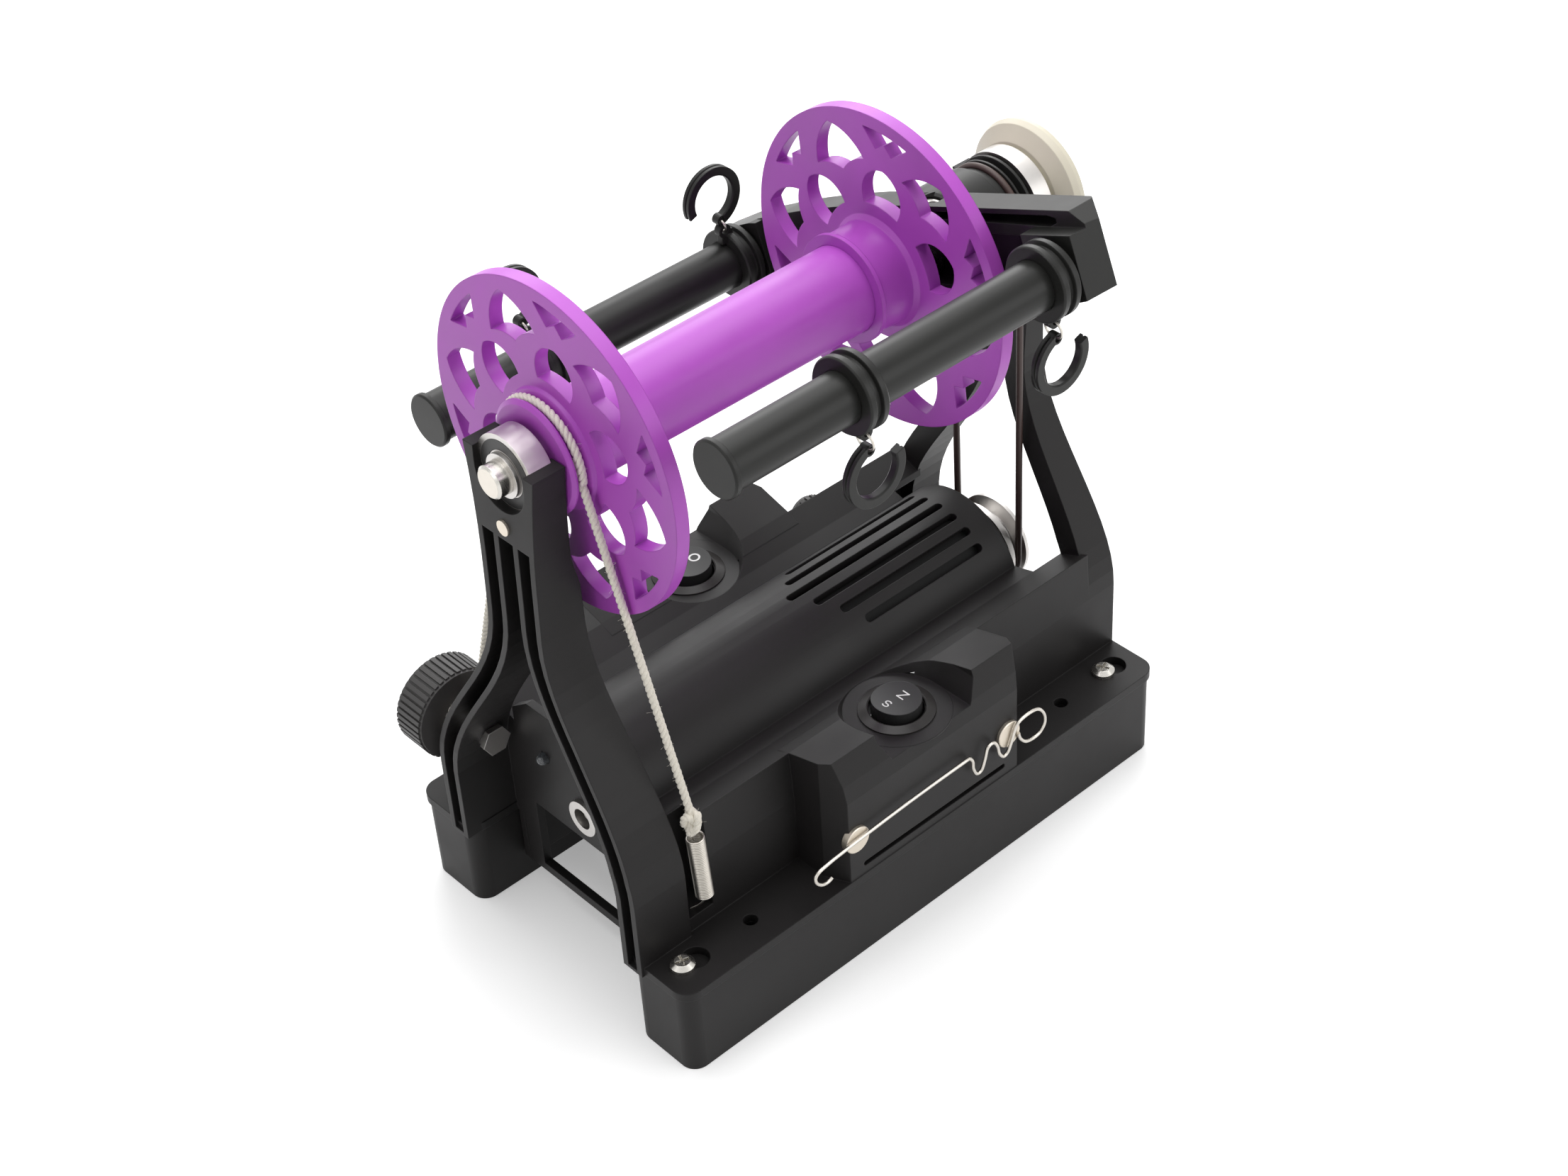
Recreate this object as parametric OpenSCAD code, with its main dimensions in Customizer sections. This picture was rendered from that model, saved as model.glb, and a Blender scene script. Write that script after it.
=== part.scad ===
// Electric yarn spinner: a flyer and bobbin turning on one axis above a motor housing.
// Frame: X along the flyer axis towards the yarn orifice, Z up,
// origin in the middle of the base at table height. Millimetres.

/* [Base] */
// length of the two foot rails
base_l = 160.6; // [130:1:200]
// width over both foot rails
base_w = 100.8; // [90:1:130]
// width of one foot rail
foot_w = 21.2; // [16:0.2:26]
// height of the plate that rests on the rails
deck_h = 25.9; // [20:0.1:34]

/* [Housing] */
// half width of the housing between the side pods
body_hw = 34.9; // [33:0.1:38]
// height of the outer edge of the sloping shoulders
shoulder_h = 59; // [54:0.5:66]
// outer radius of the round motor cover
cover_r = 20.6; // [19:0.1:23]
// height of the motor axis
motor_h = 46.4; // [44:0.1:50]
// half length of the switch pods
pod_hl = 31.2; // [26:0.2:36]
// wall thickness of the mouldings
wall = 2.2; // [1.6:0.1:3]

/* [Flyer] */
// height of the flyer axis
axis_h = 145.4; // [140:0.2:170]
// distance of each flyer arm from the axis
arm_radius = 57.6; // [52:0.2:64]
// tilt of the flyer as it stands at rest
arm_tilt = 21.4; // [0:0.1:45]
// diameter of an arm tube
arm_d = 12; // [9:0.5:14]
// diameter of the steel flyer shaft
shaft_d = 8; // [6:0.5:10]

/* [Bobbin] */
// diameter of the bobbin ends
flange_d = 80; // [60:1:90]
// thickness of a bobbin end
flange_t = 3.5; // [2.5:0.1:5]
// diameter of the bobbin barrel
barrel_d = 21; // [18:0.5:30]
// radius of the groove the brake band runs in
band_r = 12; // [11:0.2:14]

/* [Brake] */
// diameter of the cotton brake band
band_d = 2; // [1:0.1:3]
// curls in the brake spring
spring_turns = 22; // [12:1:30]

/* [Hidden] */
eps = 0.01;
half_l = base_l / 2;
half_w = base_w / 2;
plate_t = 2.4;
foot_h = deck_h - plate_t;
foot_y = half_w - foot_w / 2;
lip = 0.6;

// screws that hold the rails
screw_x = [-73.7, 69.1];
screw_y = 41.8;
screw_d = 3;
screw_head_d = 6;
screw_l = 12;
keyhole_d = 6.7;
keyhole_shift = 3.9;
plate_hole_d = 3.6;
plate_hole_x = 53;
plate_hole_y = 42;

// housing
near_x = -66;
cover_end = 60;
bay_end = 70;
crease_y = 25.7;
crease_z = shoulder_h - 3.5;
valley_y = 19;
valley_z = shoulder_h - 5.4;
pod_y = half_w - 0.2;
pod_shoulder = 62.7;
switch_y = 37.8;
switch_z = 55;
switch_d = 13.4;
rocker_bore = 12;
rocker_d = 10.9;
pivot_d = 1.6;
pivot_drop = 1.6;
bezel_d = 18;
recess_r = 15.4;
slots_half = 3;
slot_step = 14.5;
slot_w = 2.3;
slot_end = 53.2;
panel_hw = 25;
panel_top = 64;

// uprights
near_foot = 36;
far_foot = body_hw;
foot_inset = 6.6;
waist = 9.6;
waist_in = 2.5;
curve_low = 45;
curve_high = 106;
flare_from = 118;
head_top = axis_h + 4.1;
head_low = axis_h - 16.4;
web_low = 88;
rib = 1.7;
curve_steps = 14;

// bearings: outer radius, bore radius, width, near face
near_brg = [9.5, shaft_d / 2, 5.9, -74.6];
far_brg = [13, 8.5, 4.9, 75.2];
balls = 9;

// flyer
arm_u = [0, -cos(arm_tilt), sin(arm_tilt)];
arm_near = [-60, -57];
yoke_x = 42;
yoke_end = 50.5;
yoke_bevel = 46;
yoke_hl = 65.5;
boss_x = [37.4, 39.4];
arm_end = 45;
shaft_end = 45.9;
tube_start = 43.6;
cap_r = 6.7;
cap_t = 1.5;
hub_r = 12.4;
hub_end = 66.4;
pulley_r = 10.2;
tube_d = 11;

// hook collars: arm side and near face; hooks hang on the right, stand on the left
collar_at = [[1, -27], [1, 30.2], [-1, -28.5], [-1, 33.2]];
collar_w = 5.4;
collar_r = 9;
// hanging hooks are at the full length of their wire, standing ones sit on the lug
lug_x = -3;
lug_z = [11.4, 10.2];
lug_r = 1.8;
eyelet_r = 0.9;
loop_wire_d = 0.6;
hook_x = -5.6;
hook_z = [23.2, 20.4];
hook_r = 8.3;
hook_t = 2.4;
hook_w = 2.2;
hook_from = -75;
hook_sweep = 275;
eye_r = hook_t / 2 + 0.2;

// bobbin
bobbin_x = -61.8;
bobbin_end = 37.8;
barrel_wall = 1.8;
sleeve_x = 23;
sleeve_r = 12.9;
bush_r = 5.6;
running = 0.05;
brake_x = -64.4;
petals = 6;

// drive
motor_d = 35.8;
motor_l = 56;
motor_face = cover_end - wall;
motor_x = motor_face - motor_l;
motor_shaft_d = 3.2;
drive_x = 70.2;
drive_r = 9.7;
belt_d = 1.8;

// brake
knob_x = -71.5;
knob_z = 52;
knob_r = 12.2;
knob_w = 10.6;
spindle_r = 3;
spring_x = -63.2;
spring_y = -31.2;
spring_low = 36.5;
spring_high = 56.5;
spring_od = 4.6;
spring_wire = 0.44;
ring_steps = 8;

// controls on the end panel
jack_y = 0.6;
jack_z = 39.6;
led_y = 14.2;
led_z = 50;
board_x = near_x + wall + 2.2;
board_hw = 16;

// speed knob
speed_x = 47.8;
speed_z = 42.8;
speed_r = 5.8;

// threading hook
hook_wire_d = 1.2;
magnet_x = 25.5;
magnet_z = 38;
magnet_d = 6.4;
hook_y = -(pod_y + 1 + hook_wire_d / 2);

shell_colour = [0.07, 0.07, 0.075];
trim_colour = [0.1, 0.1, 0.11];
purple = [0.5, 0.16, 0.62];
steel = [0.72, 0.72, 0.72];
chrome = [0.82, 0.82, 0.84];
cream = [0.9, 0.88, 0.8];
cotton = [0.9, 0.87, 0.78];

// ---------- helpers ----------

// children drawn round Z are laid along the flyer axis from x on
module on_axis(x) {
    translate([x, 0, axis_h])
        rotate([0, 90, 0])
            children();
}

// a flat outline in Y and Z, pushed along X
module along_x(from, to) {
    translate([from, 0, 0])
        rotate([90, 0, 90])
            linear_extrude(to - from)
                children();
}

// a flat outline in X and Z, pushed along Y
module along_y(from, to) {
    translate([0, to, 0])
        rotate([90, 0, 0])
            linear_extrude(to - from)
                children();
}

module both_sides() {
    children();
    mirror([0, 1, 0])
        children();
}

module block(low, high) {
    translate(low)
        cube(high - low);
}

module ring(outer, inner, height) {
    difference() {
        cylinder(r = outer, h = height);
        translate([0, 0, -1])
            cylinder(r = inner, h = height + 2);
    }
}

module round_rect(size, r) {
    x = size[0] / 2 - r;
    y = size[1] / 2 - r;
    square([size[0], 2 * y], center = true);
    square([2 * x, size[1]], center = true);
    for (sx = [-1, 1], sy = [-1, 1])
        translate([sx * x, sy * y])
            circle(r);
}

// a slot with round ends from a to b along its own X
module slot(a, b, width) {
    translate([a, -width / 2])
        square([b - a, width]);
    translate([a, 0])
        circle(d = width);
    translate([b, 0])
        circle(d = width);
}

function unit(v) = v / norm(v);

// a tube that follows a path: its rings are carried along without twist
function path_dir(p, i) =
    unit(p[min(i + 1, len(p) - 1)] - p[max(i - 1, 0)]);

function carried(p, i, last) =
    i == len(p) ? [] :
    let (d = path_dir(p, i))
    let (next = unit(last - (last * d) * d))
    concat([next], carried(p, i + 1, next));

module tube(p, radii, start, n) {
    side = carried(p, 0, start);
    points = [for (i = [0:len(p) - 1])
        let (b = cross(path_dir(p, i), side[i]))
        each [for (k = [0:n - 1])
            p[i] + radii[i] * (cos(360 * k / n) * side[i] + sin(360 * k / n) * b)]];
    walls = [for (i = [0:len(p) - 2], k = [0:n - 1])
        let (j = (k + 1) % n)
        each [[i * n + k, i * n + j, (i + 1) * n + j],
              [i * n + k, (i + 1) * n + j, (i + 1) * n + k]]];
    last = (len(p) - 1) * n;
    ends = [[for (k = [n - 1:-1:0]) k], [for (k = [0:n - 1]) last + k]];
    polyhedron(points, concat(walls, ends));
}

function even(p, r) = [for (i = p) r];

// ---------- uprights ----------

function ease(t) = (1 - cos(180 * max(0, min(1, t)))) / 2;
function flare(z, extra) = extra * pow(max(0, (z - flare_from) / (head_top - flare_from)), 2);
function outer_y(z, foot, extra) =
    foot - (foot - waist) * ease((z - curve_low) / (curve_high - curve_low)) + flare(z, extra);
function inner_y(z, foot) =
    (foot - foot_inset)
    - (foot - foot_inset - waist_in) * ease((z - curve_low + 2) / (curve_high - curve_low + 2));

function heights(low, high) = concat(
    [low],
    [for (k = [0:curve_steps]) curve_low + (curve_high - curve_low) * k / curve_steps],
    [for (k = [0:5]) curve_high + 8 + (high - curve_high - 8) * k / 5]
);

// one leg between its outer and inner edge, each moved in by a margin
module leg_outline(foot, extra, low, high, margin) {
    zs = heights(low, high);
    n = len(zs);
    polygon(concat(
        [for (z = zs) [outer_y(z, foot, extra) - margin, z]],
        [for (i = [n - 1:-1:0]) [inner_y(zs[i], foot) + margin, zs[i]]]
    ));
}

// the part between the legs: web, magnet boss and bearing seat
module head_outline(foot, extra) {
    zs = [for (k = [0:6]) head_low + (head_top - head_low) * k / 6];
    polygon(concat(
        [for (z = zs) [outer_y(z, foot, extra), z]],
        [for (k = [6:-1:0]) [-outer_y(zs[k], foot, extra), zs[k]]]
    ));
}

module both_legs(foot, extra, low, high, margin) {
    leg_outline(foot, extra, low, high, margin);
    mirror([1, 0])
        leg_outline(foot, extra, low, high, margin);
}

module near_upright() {
    front = [[-81.2, foot_h], [-81, 52], [-79.2, 80], [-77.8, 112], [-76.3, head_top + 1]];
    difference() {
        intersection() {
            along_x(-82, near_x)
                union() {
                    both_legs(near_foot, 2.3, foot_h, head_top, 0);
                    head_outline(near_foot, 2.3);
                }
            along_y(-half_w, half_w)
                polygon(concat(front, [
                    [-67.6, head_top + 1], [-67.6, 124], [near_x, 116], [near_x, foot_h]
                ]));
        }
        // the long channels that face outwards
        along_x(-83, -68.4)
            both_legs(near_foot, 2.3, foot_h + 1, head_low, rib);
        // bearing seat, open at the top
        on_axis(near_brg[3])
            cylinder(r = near_brg[0], h = near_brg[2]);
        on_axis(-83)
            cylinder(r = near_brg[0] - 1, h = 20);
        block([-83, 1 - near_brg[0], axis_h], [near_brg[3] + eps, near_brg[0] - 1, axis_h + 10]);
        // pocket of the small magnet
        translate([-79.4, 0, axis_h - 12.9])
            rotate([0, 90, 0])
                cylinder(d = 3.8, h = 4);
        // way through for the brake screw
        translate([knob_x, 20, knob_z])
            rotate([-90, 0, 0])
                cylinder(r = spindle_r + running, h = 20);
    }
    // web between the inner ribs
    along_x(-69.4, -67.6)
        polygon([
            [-inner_y(web_low, near_foot) - 1, web_low],
            [inner_y(web_low, near_foot) + 1, web_low],
            [inner_y(100, near_foot) + 1, 100],
            [waist_in + 1, head_low + 1],
            [-waist_in - 1, head_low + 1],
            [-inner_y(100, near_foot) - 1, 100]
        ]);
}

module far_upright() {
    face = [[bay_end, deck_h], [bay_end, shoulder_h], [74.4, 118], [74.6, head_top + 1]];
    intersection() {
        difference() {
            along_x(bay_end, half_l)
                union() {
                    both_legs(far_foot, 5.8, deck_h - 1, head_top, 0);
                    head_outline(far_foot, 5.8);
                }
            along_x(76.6, half_l + 1)
                both_legs(far_foot, 5.8, deck_h + 3, head_low, rib);
            on_axis(far_brg[3])
                cylinder(r = far_brg[0], h = 10);
            on_axis(60)
                cylinder(r = far_brg[0] - 1.2, h = 30);
        }
        along_y(-half_w, half_w)
            polygon(concat(face, [[half_l, head_top + 1], [half_l, deck_h]]));
    }
}

// ---------- housing ----------

module body_outline(inset) {
    low = deck_h - plate_t - inset;
    polygon([
        [-body_hw + inset, low], [-body_hw + inset, 45], [inset - 34, shoulder_h - 1.5 * inset],
        [-crease_y, crease_z - inset], [-valley_y, valley_z - inset],
        [valley_y, valley_z - inset], [crease_y, crease_z - inset],
        [34 - inset, shoulder_h - 1.5 * inset], [body_hw - inset, 45], [body_hw - inset, low]
    ]);
    translate([0, motor_h])
        circle(r = cover_r - inset);
}

// shoulder and side wall that carry on past the motor cover
module side_wall_outline() {
    polygon([
        [body_hw, foot_h], [body_hw, 45], [34, shoulder_h], [crease_y, crease_z],
        [crease_y, crease_z - wall], [34 - wall, shoulder_h - wall - 0.9],
        [body_hw - wall, 45], [body_hw - wall, foot_h]
    ]);
}

module pod_outline() {
    polygon([
        [30, foot_h], [pod_y, foot_h], [pod_y, 51], [pod_y - 0.8, 56], [pod_y - 2.3, 60.3],
        [pod_y - 3.2, pod_shoulder], [34, shoulder_h], [30, shoulder_h - 1.6]
    ]);
}

// the pod's plan: its ends are chamfered towards the outside
module pod_plan() {
    polygon([
        [-pod_hl, 28], [-pod_hl, 44], [3.4 - pod_hl, pod_y + 1], [pod_hl - 3.4, pod_y + 1],
        [pod_hl, 44], [pod_hl, 28]
    ]);
}

module pod() {
    intersection() {
        along_x(-pod_hl, pod_hl)
            pod_outline();
        translate([0, 0, foot_h - 3])
            linear_extrude(60)
                pod_plan();
    }
}

// dished hollow round a switch, running out through the pod's face
module switch_recess() {
    translate([0, switch_y, switch_z]) {
        cylinder(r1 = recess_r - 2.4, r2 = recess_r + 0.6, h = 6);
        translate([0, 0, 5.9])
            cylinder(r = recess_r + 0.6, h = 8);
        rotate([-90, 0, 0])
            linear_extrude(20)
                polygon([
                    [-recess_r + 2.4, 0], [-recess_r - 0.6, -6], [-recess_r - 0.6, -14],
                    [recess_r + 0.6, -14], [recess_r + 0.6, -6], [recess_r - 2.4, 0]
                ]);
    }
}

module vent_slots() {
    for (k = [-slots_half:slots_half])
        translate([0, 0, motor_h])
            rotate([slot_step * k, 0, 0])
                translate([0, 0, cover_r - 5])
                    linear_extrude(10)
                        slot(1.5 + 4.2 * abs(k), slot_end - slot_w / 2, slot_w);
}

module deck_plate() {
    translate([0, foot_y, foot_h])
        linear_extrude(plate_t)
            difference() {
                round_rect([base_l, foot_w], 4.5);
                for (x = screw_x)
                    translate([x, screw_y - foot_y])
                        union() {
                            slot(0, keyhole_shift, screw_d + 0.4);
                            translate([keyhole_shift, 0])
                                circle(d = keyhole_d);
                        }
                for (x = [-plate_hole_x, plate_hole_x])
                    translate([x, plate_hole_y - foot_y])
                        circle(d = plate_hole_d);
            }
}

// skirt behind each rail and the low bars that tie both sides together
module skirts() {
    inner = half_w - foot_w;
    both_sides()
        block([near_x, inner - wall, 8], [half_l - 0.4, inner - 0.2, deck_h]);
    both_sides()
        block([near_x, inner - wall, foot_h], [half_l, body_hw, deck_h]);
    block([near_x, -inner, 8], [near_x + wall, inner, 10.5]);
    block([half_l - wall, -inner, 8], [half_l - 0.4, inner, 10.5]);
}

module end_panel() {
    difference() {
        along_x(near_x, near_x + wall)
            polygon([
                [-panel_hw, 31], [panel_hw, 31], [panel_hw, panel_top - 4.5],
                [panel_hw - 6, panel_top], [6 - panel_hw, panel_top],
                [-panel_hw, panel_top - 4.5]
            ]);
        translate([near_x - 1, jack_y, jack_z])
            rotate([0, 90, 0])
                cylinder(d = 8, h = wall + 2);
        translate([near_x - 1, led_y, led_z])
            rotate([0, 90, 0])
                cylinder(d = 3.2, h = wall + 2);
    }
    both_sides()
        block([near_x, 21, 8], [near_x + wall, 26.8, 54]);
    // posts that carry the circuit board
    both_sides()
        block([near_x + wall - eps, board_hw - 4, 33], [board_x, board_hw - 1, 36]);
}

module housing_cavity() {
    // main room behind the spring pocket, up to the bulkhead
    difference() {
        along_x(near_x - 1, cover_end - wall)
            body_outline(wall);
        both_sides()
            block([near_x - 2, 24.8, foot_h - 4], [-53, 40, 62]);
    }
}

module spring_pocket() {
    block([near_x - eps, -half_w, 30], [-58, -26.8, 56]);
    translate([near_x - eps, -half_w, 56])
        rotate([-90, 0, 0])
            linear_extrude(half_w - 26.8)
                polygon([[0, eps], [8, eps], [5, -4], [0, -4]]);
    translate([spring_x, spring_y, deck_h])
        cylinder(d = 1.6, h = 10);
}

module speed_knob_hole() {
    translate([speed_x, body_hw - 10, speed_z])
        rotate([-90, 0, 0])
            cylinder(d = 7, h = 20);
}

module body_shell() {
    color(shell_colour) {
        difference() {
            union() {
                along_x(near_x, cover_end)
                    body_outline(0);
                both_sides()
                    pod();
            }
            housing_cavity();
            both_sides()
                switch_recess();
            both_sides()
                translate([0, switch_y, 40])
                    cylinder(d = switch_d, h = 20);
            vent_slots();
            spring_pocket();
            // open end below the panel
            block([near_x - 1, -24.8, 0], [near_x + wall + 1, 24.8, 60]);
            // hole for the motor's boss and its two screws in the bulkhead
            translate([cover_end - 5, 0, motor_h])
                rotate([0, 90, 0]) {
                    cylinder(r = 6.6, h = 10);
                    for (s = [-1, 1])
                        translate([0, s * 12.5, 0])
                            cylinder(d = 3.2, h = 10);
                }
            // slot behind the threading hook
            translate([0, -pod_y - 1, 29])
                rotate([-90, 0, 0])
                    linear_extrude(wall + 3)
                        slot(-23.2, 23.2, 1.5);
            for (s = [-1, 1])
                translate([s * magnet_x, -pod_y - 1, magnet_z])
                    rotate([-90, 0, 0])
                        cylinder(d = magnet_d, h = 2);
            speed_knob_hole();
        }
        difference() {
            union() {
                both_sides()
                    along_x(cover_end - 1, bay_end + 1)
                        side_wall_outline();
                far_upright();
                near_upright();
            }
            spring_pocket();
        }
        end_panel();
        both_sides()
            deck_plate();
        skirts();
    }
}

// ---------- feet ----------

module foot() {
    difference() {
        translate([0, foot_y, 0])
            linear_extrude(foot_h)
                round_rect([base_l - 2 * lip, foot_w - 2 * lip], 4);
        for (x = screw_x)
            translate([x, screw_y, foot_h - screw_l - 2])
                cylinder(d = screw_d - 0.1, h = screw_l + 3);
        // clear way for a screw from the deck down into a board
        for (x = [-plate_hole_x, plate_hole_x])
            translate([x, plate_hole_y, -1])
                cylinder(d = plate_hole_d, h = foot_h + 2);
    }
}

module foot_left() {
    color(trim_colour)
        foot();
}

module foot_right() {
    color(trim_colour)
        mirror([0, 1, 0])
            foot();
}

// pan head with a cross recess
module pan_screw(length) {
    difference() {
        union() {
            cylinder(d = screw_head_d, h = 1);
            translate([0, 0, 1])
                cylinder(d1 = screw_head_d, d2 = screw_head_d - 2.2, h = 0.9);
            translate([0, 0, -length])
                cylinder(d = screw_d - 0.1, h = length + eps);
        }
        for (a = [0, 90])
            rotate([0, 0, a])
                translate([-1.7, -0.35, 0.9])
                    cube([3.4, 0.7, 2]);
    }
}

module foot_screws() {
    color(steel)
        both_sides()
            for (x = screw_x)
                translate([x, screw_y, deck_h])
                    rotate([0, 0, x])
                        pan_screw(screw_l);
}

// ---------- controls ----------

module dc_jack() {
    color(chrome)
        translate([near_x - 1.1, jack_y, jack_z])
            rotate([0, 90, 0]) {
                difference() {
                    union() {
                        cylinder(r = 4.8, h = 1.1);
                        cylinder(r = 3.95, h = 13);
                    }
                    translate([0, 0, -1])
                        cylinder(r = 2.8, h = 10);
                }
                // centre pin
                translate([0, 0, 1.5])
                    cylinder(r = 1, h = 9);
            }
}

module indicator_led() {
    color([0.75, 0.8, 0.85]) {
        translate([near_x - 0.8, led_y, led_z])
            rotate([0, 90, 0])
                cylinder(r = 1.5, h = 5.2);
        translate([near_x - 0.8, led_y, led_z])
            sphere(r = 1.5);
    }
}

module circuit_board() {
    color([0.05, 0.25, 0.12])
        difference() {
            block([board_x, -board_hw, 32], [board_x + 1.6, board_hw, 54]);
            translate([board_x - 1, jack_y, jack_z])
                rotate([0, 90, 0])
                    cylinder(r = 4, h = 4);
        }
}

module speed_pot() {
    color(steel)
        translate([speed_x, 0, speed_z])
            rotate([-90, 0, 0]) {
                translate([0, 0, body_hw - wall - 9.8])
                    cylinder(d = 16, h = 9);
                translate([0, 0, body_hw - wall - 1])
                    cylinder(d = 7, h = wall + 3);
                translate([0, 0, body_hw])
                    cylinder(d = 3, h = 9);
            }
}

// a round knob with grip ribs all the way round
module ribbed_knob(r, height, ribs, top_r) {
    difference() {
        union() {
            cylinder(r = r - 0.5, h = height - 1);
            translate([0, 0, height - 1])
                cylinder(r1 = r - 0.5, r2 = top_r, h = 1);
            for (k = [0:ribs - 1])
                rotate([0, 0, 360 * k / ribs])
                    translate([r - 1.2, -0.55, 0.6])
                        cube([1.2, 1.1, height - 2]);
        }
        translate([0, 0, height - 0.7])
            cylinder(r = top_r - 2, h = 1);
    }
}

module speed_knob() {
    color(trim_colour)
        difference() {
            translate([speed_x, body_hw + 2.4, speed_z])
                rotate([-90, 0, 0])
                    ribbed_knob(speed_r, 10, 20, speed_r - 1);
            translate([speed_x, body_hw, speed_z])
                rotate([-90, 0, 0])
                    cylinder(r = 1.5, h = 9);
        }
}

module switch_bezel() {
    difference() {
        union() {
            cylinder(d = bezel_d, h = 1.2);
            translate([0, 0, 1.2])
                cylinder(d1 = bezel_d, d2 = bezel_d - 1.6, h = 0.8);
            translate([0, 0, -13])
                cylinder(d = switch_d - 0.1, h = 13 + eps);
        }
        translate([0, 0, -10])
            cylinder(d = rocker_bore, h = 20);
        // bore of the rocker's pivot
        translate([0, 10, -pivot_drop])
            rotate([90, 0, 0])
                cylinder(d = pivot_d + 2 * running, h = 20);
    }
}

// round rocker on its pivot, dished along its middle
module switch_rocker() {
    difference() {
        union() {
            intersection() {
                translate([0, 0, -6])
                    cylinder(d = rocker_d, h = 12);
                translate([0, 8, -pivot_drop])
                    rotate([90, 0, 0])
                        cylinder(r = 5.7, h = 16);
            }
            translate([0, 6.6, -pivot_drop])
                rotate([90, 0, 0])
                    cylinder(d = pivot_d, h = 13.2);
        }
        translate([0, 8, 21.9])
            rotate([90, 0, 0])
                cylinder(r = 19, h = 16);
    }
}

module power_bezel() {
    color(trim_colour)
        translate([0, switch_y, switch_z])
            switch_bezel();
}

module power_rocker() {
    color(trim_colour)
        translate([0, switch_y, switch_z])
            switch_rocker();
}

module direction_bezel() {
    color(trim_colour)
        translate([0, -switch_y, switch_z])
            switch_bezel();
}

module direction_rocker() {
    color(trim_colour)
        translate([0, -switch_y, switch_z])
            switch_rocker();
}

// ---------- drive ----------

module motor() {
    color(steel)
        translate([motor_x, 0, motor_h])
            rotate([0, 90, 0])
                difference() {
                    union() {
                        cylinder(d = motor_d, h = motor_l);
                        translate([0, 0, motor_l - eps])
                            cylinder(r = 6.5, h = 3);
                        translate([0, 0, -2.4])
                            cylinder(r = 7, h = 2.5);
                    }
                    translate([0, 0, motor_l - 30])
                        cylinder(d = motor_shaft_d + 2 * running, h = 40);
                    for (s = [-1, 1])
                        translate([0, s * 12.5, motor_l - 5])
                            cylinder(d = 2.9, h = 6);
                }
}

module motor_shaft() {
    color(steel)
        translate([motor_face - 28, 0, motor_h])
            rotate([0, 90, 0])
                cylinder(d = motor_shaft_d, h = drive_x + 3 - motor_face + 28);
}

module motor_screws() {
    color(steel)
        for (s = [-1, 1])
            translate([cover_end, s * 12.5, motor_h])
                rotate([0, 90, 0])
                    pan_screw(6);
}

module motor_pulley() {
    r = drive_r + 2;
    color(chrome)
        translate([drive_x - 3.6, 0, motor_h])
            rotate([0, 90, 0])
                rotate_extrude()
                    polygon([
                        [motor_shaft_d / 2, 0], [r, 0], [r, 1.6],
                        [drive_r - 1, 2.9], [drive_r - 1, 4.3],
                        [r, 5.6], [r, 6.6], [motor_shaft_d / 2, 6.6]
                    ]);
}

// one closed loop round the motor pulley and the flyer pulley
module drive_belt() {
    top = pulley_r + belt_d / 2 + 0.3;
    low = drive_r + belt_d / 2 + 0.3;
    rise = axis_h - motor_h;
    lean = asin((top - low) / rise);
    arc = 12;
    upper = [for (k = [0:arc])
        let (a = lean + (180 - 2 * lean) * k / arc)
        [drive_x, top * cos(a), axis_h + top * sin(a)]];
    lower = [for (k = [0:arc])
        let (a = 180 - lean + (180 + 2 * lean) * k / arc)
        [drive_x, low * cos(a), motor_h + low * sin(a)]];
    loop = concat(upper, lower);
    n = len(loop);
    sides = 8;
    points = [for (i = [0:n - 1])
        let (d = unit(loop[(i + 1) % n] - loop[(i + n - 1) % n]))
        let (b = cross([1, 0, 0], d))
        each [for (k = [0:sides - 1])
            loop[i] + belt_d / 2 * (cos(360 * k / sides) * [1, 0, 0] + sin(360 * k / sides) * b)]];
    faces = [for (i = [0:n - 1], k = [0:sides - 1])
        [i * sides + (k + 1) % sides, i * sides + k,
         ((i + 1) % n) * sides + k, ((i + 1) % n) * sides + (k + 1) % sides]];
    color([0.12, 0.06, 0.05])
        polyhedron(points, faces);
}

// ---------- bearings ----------

// brg holds outer radius, bore radius, width and near face
function race(brg) = (brg[0] - brg[1]) * 0.3;
function ball_r(brg) = (brg[0] - brg[1]) * 0.22;

// room for a ball between the two races
function mid_gap(brg) =
    (brg[0] + brg[1]) / 2 + ball_r(brg) * 0.8 - brg[1] - race(brg) - 0.1;

module outer_race(brg) {
    mid = (brg[0] + brg[1]) / 2;
    on_axis(brg[3])
        difference() {
            cylinder(r = brg[0], h = brg[2]);
            translate([0, 0, -1])
                cylinder(r = brg[1] + race(brg) + 0.3, h = brg[2] + 2);
            translate([0, 0, 0.8])
                cylinder(r = mid + ball_r(brg) * 0.8, h = brg[2] - 1.6);
        }
}

module inner_race(brg) {
    on_axis(brg[3])
        ring(brg[1] + race(brg), brg[1], brg[2]);
}

module near_bearing_outer() {
    color(chrome)
        outer_race(near_brg);
}

module near_bearing_inner() {
    color(chrome)
        inner_race(near_brg);
}

module orifice_bearing_outer() {
    color(chrome)
        outer_race(far_brg);
}

module orifice_bearing_inner() {
    color(chrome)
        inner_race(far_brg);
}

module bearing_balls() {
    color(chrome)
        for (brg = [near_brg, far_brg])
            for (k = [0:balls - 1])
                on_axis(brg[3] + brg[2] / 2)
                    rotate([0, 0, 360 * k / balls])
                        translate([brg[1] + race(brg) + 0.1 + (mid_gap(brg)) / 2, 0, 0])
                            sphere(r = mid_gap(brg) / 2);
}

module shaft_ring() {
    color(chrome)
        on_axis(near_brg[3] - 1.1)
            ring(5.3, shaft_d / 2, 1);
}

// ---------- flyer ----------

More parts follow.
